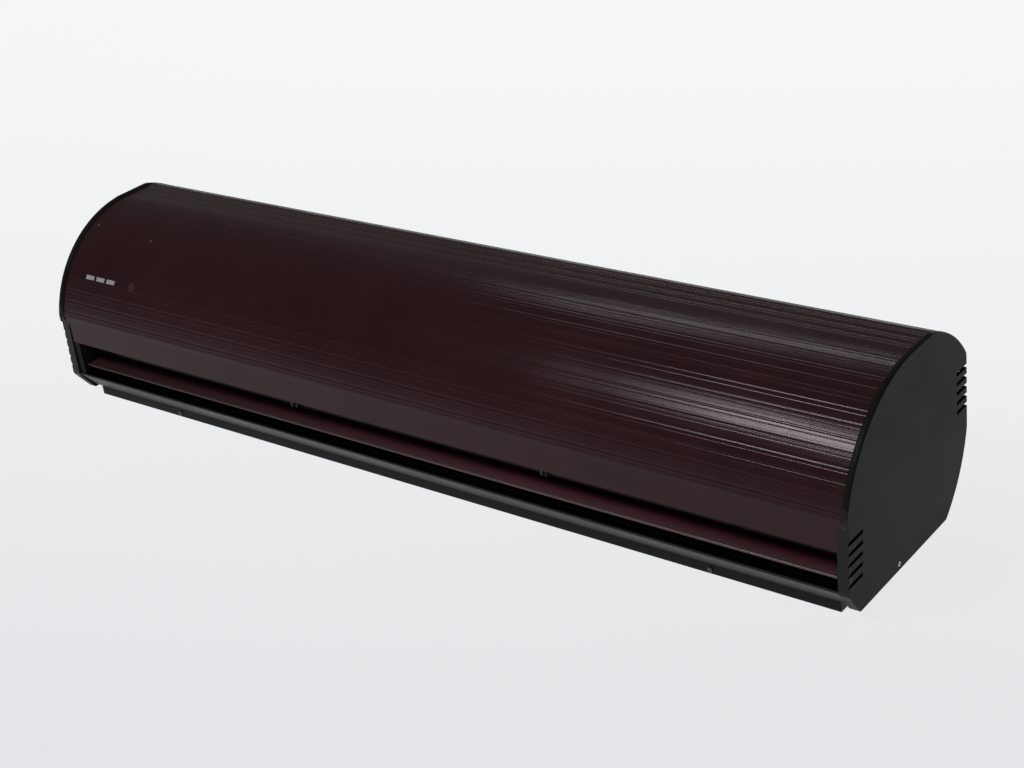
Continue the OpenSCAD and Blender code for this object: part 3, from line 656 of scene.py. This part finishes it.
def base_section():
    path = [(-14.5, SILL_Z, 0.2), (-16.5, SILL_Z, 1.3), (-16.5, 24.2, 1.2), (0.83, BASE_Z, 1.1)]
    path += arc_pts(CL, RL, -48.84, -10.86, 34)
    path += [(REAR, 121.9, 0.3), (REAR - 2, 121.9, 0.3)]
    path += arc_pts(CL, RL - 2, -10.95, -48.5, 34)
    path += [(1.77, BASE_Z + 2, 0), (-14.5, 24.916, 0)]
    return fillets(path)


v, f = sweep(base_section(), [-BASE_END, BASE_END])
base = mesh_piece("base_shell_body", v, f, M["base_black"], 30.0)
boolean(base, [box_part(-486.4, 486.4, -15, -7, SILL_Z - 2, SILL_Z)], "UNION")
cuts = [prism(P(-440, 210, 100), (1, 0, 0), (0, 0, 1), (0, 1, 0), circle_pts(8.0, 48), -10, 10)]
for s in (-1, 1):
    x0, x1 = sorted((s * 486.2, s * 492.2))
    cuts.append(box_part(x0, x1, 63, 83, -1, 7))
    cuts.append(prism(P(s * 345, 12.5, BASE_Z + 1), (1, 0, 0), (0, 1, 0), (0, 0, 1), circle_pts(1.7, 24), -2, 2))
boolean(base, cuts)
soften(base, 30.0)
second_finish(base, M["base_lip"], lambda c: c.z < 0.0345)
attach(base, "chassis")
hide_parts("base_shell")


# ------------------------------------------------------------------ guide vane
def vane_z(y):
    return 36.2 + 1.2 * (1 - ((y - 14) / 24) ** 2)


def vane_section():
    pts = [(mix(32.6, -7.75, i / 44), vane_z(mix(32.6, -7.75, i / 44))) for i in range(45)]
    cy, cz = -9.0, vane_z(-9.0) - 0.85
    for a in range(46, 322, 11):
        q = math.radians(a)
        pts.append((cy + 1.5 * math.cos(q), cz + 1.5 * math.sin(q)))
    pts += [(mix(-7.75, 32.6, i / 34), vane_z(mix(-7.75, 32.6, i / 34)) - 1.7) for i in range(35)]
    for a in range(-70, 71, 20):
        q = math.radians(a)
        pts.append((33 + 0.85 * math.cos(q), vane_z(33) - 0.85 + 0.85 * math.sin(q)))
    return pts


v, f = sweep(vane_section(), [-478.6, 486.0])
vane = mesh_piece("guide_vane_blade", v, f, M["vane_wine"], 35.0)
SPANS = [(-478.6, -166.0), (-162.0, 162.0), (166.0, 486.0)]
boolean(vane, [sweep([(18 + a, 41.5 + b) for a, b in circle_pts(4.2, 48)], [x0, x1]) for x0, x1 in SPANS], "UNION")
boolean(vane, [box_part(x0 + 0.02, x1 - 0.02, 16.5, 19.5, 36.4, 39.0) for x0, x1 in SPANS], "UNION")
boolean(vane, [sweep([(18 + a, 41.5 + b) for a, b in circle_pts(2.55, 40)], [-490, 490])])
soften(vane, 35.0)
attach(vane, "vane")
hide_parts("guide_vane")


# ------------------------------------------------------------------ broken edges of the folded sheets
for name, width in (("wall_plate", 0.35), ("side_plate_left", 0.2), ("side_plate_right", 0.2), ("hang_hooks", 0.25), ("retaining_brackets", 0.2)):
    ob = nodes[name]
    weld = ob.modifiers.new("weld", "WELD")
    weld.merge_threshold = 0.00001
    flat = ob.modifiers.new("flat", "DECIMATE")
    flat.decimate_type = "DISSOLVE"
    flat.angle_limit = math.radians(1.0)
    edge = ob.modifiers.new("edge", "BEVEL")
    edge.width = width / 1000.0
    edge.segments = 2
    edge.limit_method = "ANGLE"
    edge.angle_limit = math.radians(50.0)
    edge.harden_normals = False


# ------------------------------------------------------------------ camera, floor, light
cam_data = bpy.data.cameras.new("camera")
cam = bpy.data.objects.new("camera", cam_data)
scene.collection.objects.link(cam)
scene.camera = cam
cam_data.sensor_fit = "HORIZONTAL"
cam_data.sensor_width = 36.0
cam_data.lens = 36.0 * 1823.0491 / 1024.0
cam_data.clip_start, cam_data.clip_end = 0.01, 200.0
cam_data.shift_x, cam_data.shift_y = -0.5 / 1024.0, 0.5 / 1024.0
az, el, roll = (math.radians(v) for v in (40.73830163, 26.92307082, -7.57366992))
back = Vector((math.sin(az) * math.cos(el), -math.cos(az) * math.cos(el), math.sin(el)))
right = Vector((0, 0, 1)).cross(back).normalized()
up = back.cross(right)
right, up = math.cos(roll) * right + math.sin(roll) * up, -math.sin(roll) * right + math.cos(roll) * up
cam.matrix_world = Matrix(((right.x, up.x, back.x, 1.1299), (right.y, up.y, back.y, -1.23775), (right.z, up.z, back.z, 0.9151), (0, 0, 0, 1)))

scene.view_settings.view_transform = "Standard"
scene.view_settings.look = "None"
scene.view_settings.exposure = 0.0

world = bpy.data.worlds.new("studio")
scene.world = world
world.use_nodes = True
wt = world.node_tree
bg = wt.nodes["Background"]
bg.inputs["Strength"].default_value = 1.0
wc = wt.nodes.new("ShaderNodeTexCoord")
ws = wt.nodes.new("ShaderNodeSeparateXYZ")
wt.links.new(wc.outputs["Generated"], ws.inputs["Vector"])
wt.links.new(ramp(wt, ws.outputs["Z"], [(0.0, (0.50, 0.50, 0.51)), (0.15, (0.28, 0.275, 0.28)), (0.4, (0.13, 0.125, 0.13)), (1.0, (0.17, 0.165, 0.17))]), bg.inputs["Color"])

fm, ft, fb = mat_new("floor")
fb.inputs["Roughness"].default_value = 0.9
fb.inputs["Specular IOR Level"].default_value = 0.0
fv = coords(ft, (1.0, 1.0, 1.0))
sep = ft.nodes.new("ShaderNodeSeparateXYZ")
ft.links.new(fv, sep.inputs["Vector"])
side = ft.nodes.new("ShaderNodeMath"); side.operation = "MULTIPLY"
side.inputs[1].default_value = -0.3
ft.links.new(sep.outputs["X"], side.inputs[0])
far = ft.nodes.new("ShaderNodeMath"); far.operation = "ADD"
ft.links.new(sep.outputs["Y"], far.inputs[0]); ft.links.new(side.outputs[0], far.inputs[1])
tone = ramp(ft, spread(ft, far.outputs[0], 0.0, 1.0, -0.8, 1.8), [
    (0.0, (0.685, 0.700, 0.722)), (0.26, (0.775, 0.789, 0.805)), (0.42, (0.830, 0.839, 0.850)), (0.77, (0.888, 0.889, 0.892)), (1.0, (0.900, 0.900, 0.900))])
fb.inputs["Base Color"].default_value = (0.08, 0.08, 0.081, 1)
ft.links.new(tone, fb.inputs["Emission Color"])
fb.inputs["Emission Strength"].default_value = 1.0
bm = bmesh.new()
for x, y in ((-40, -40), (40, -40), (40, 40), (-40, 40)):
    bm.verts.new((x, y, 0))
bm.faces.new(bm.verts)
fmesh = bpy.data.meshes.new("floor")
bm.to_mesh(fmesh); bm.free()
fmesh.materials.append(fm)
floor = bpy.data.objects.new("floor", fmesh)
scene.collection.objects.link(floor)
floor.location = (0, 0, -0.0004)


def softbox(name, pos, target, size_x, size_y, power, color=(1, 1, 1)):
    d = bpy.data.lights.new(name, "AREA")
    d.shape = "RECTANGLE"
    d.size, d.size_y = size_x, size_y
    d.energy = power
    d.color = color
    o = bpy.data.objects.new(name, d)
    scene.collection.objects.link(o)
    o.location = pos
    o.rotation_mode = "QUATERNION"
    o.rotation_quaternion = (Vector(target) - Vector(pos)).to_track_quat("-Z", "Y")
    return o


softbox("key", (-0.35, -1.17, 1.51), (0.45, -0.086, 0.158), 0.62, 0.26, 15.5)
softbox("back", (-0.88, 1.38, 1.95), (0.2, 0, 0.2), 1.1, 0.12, 4.2)
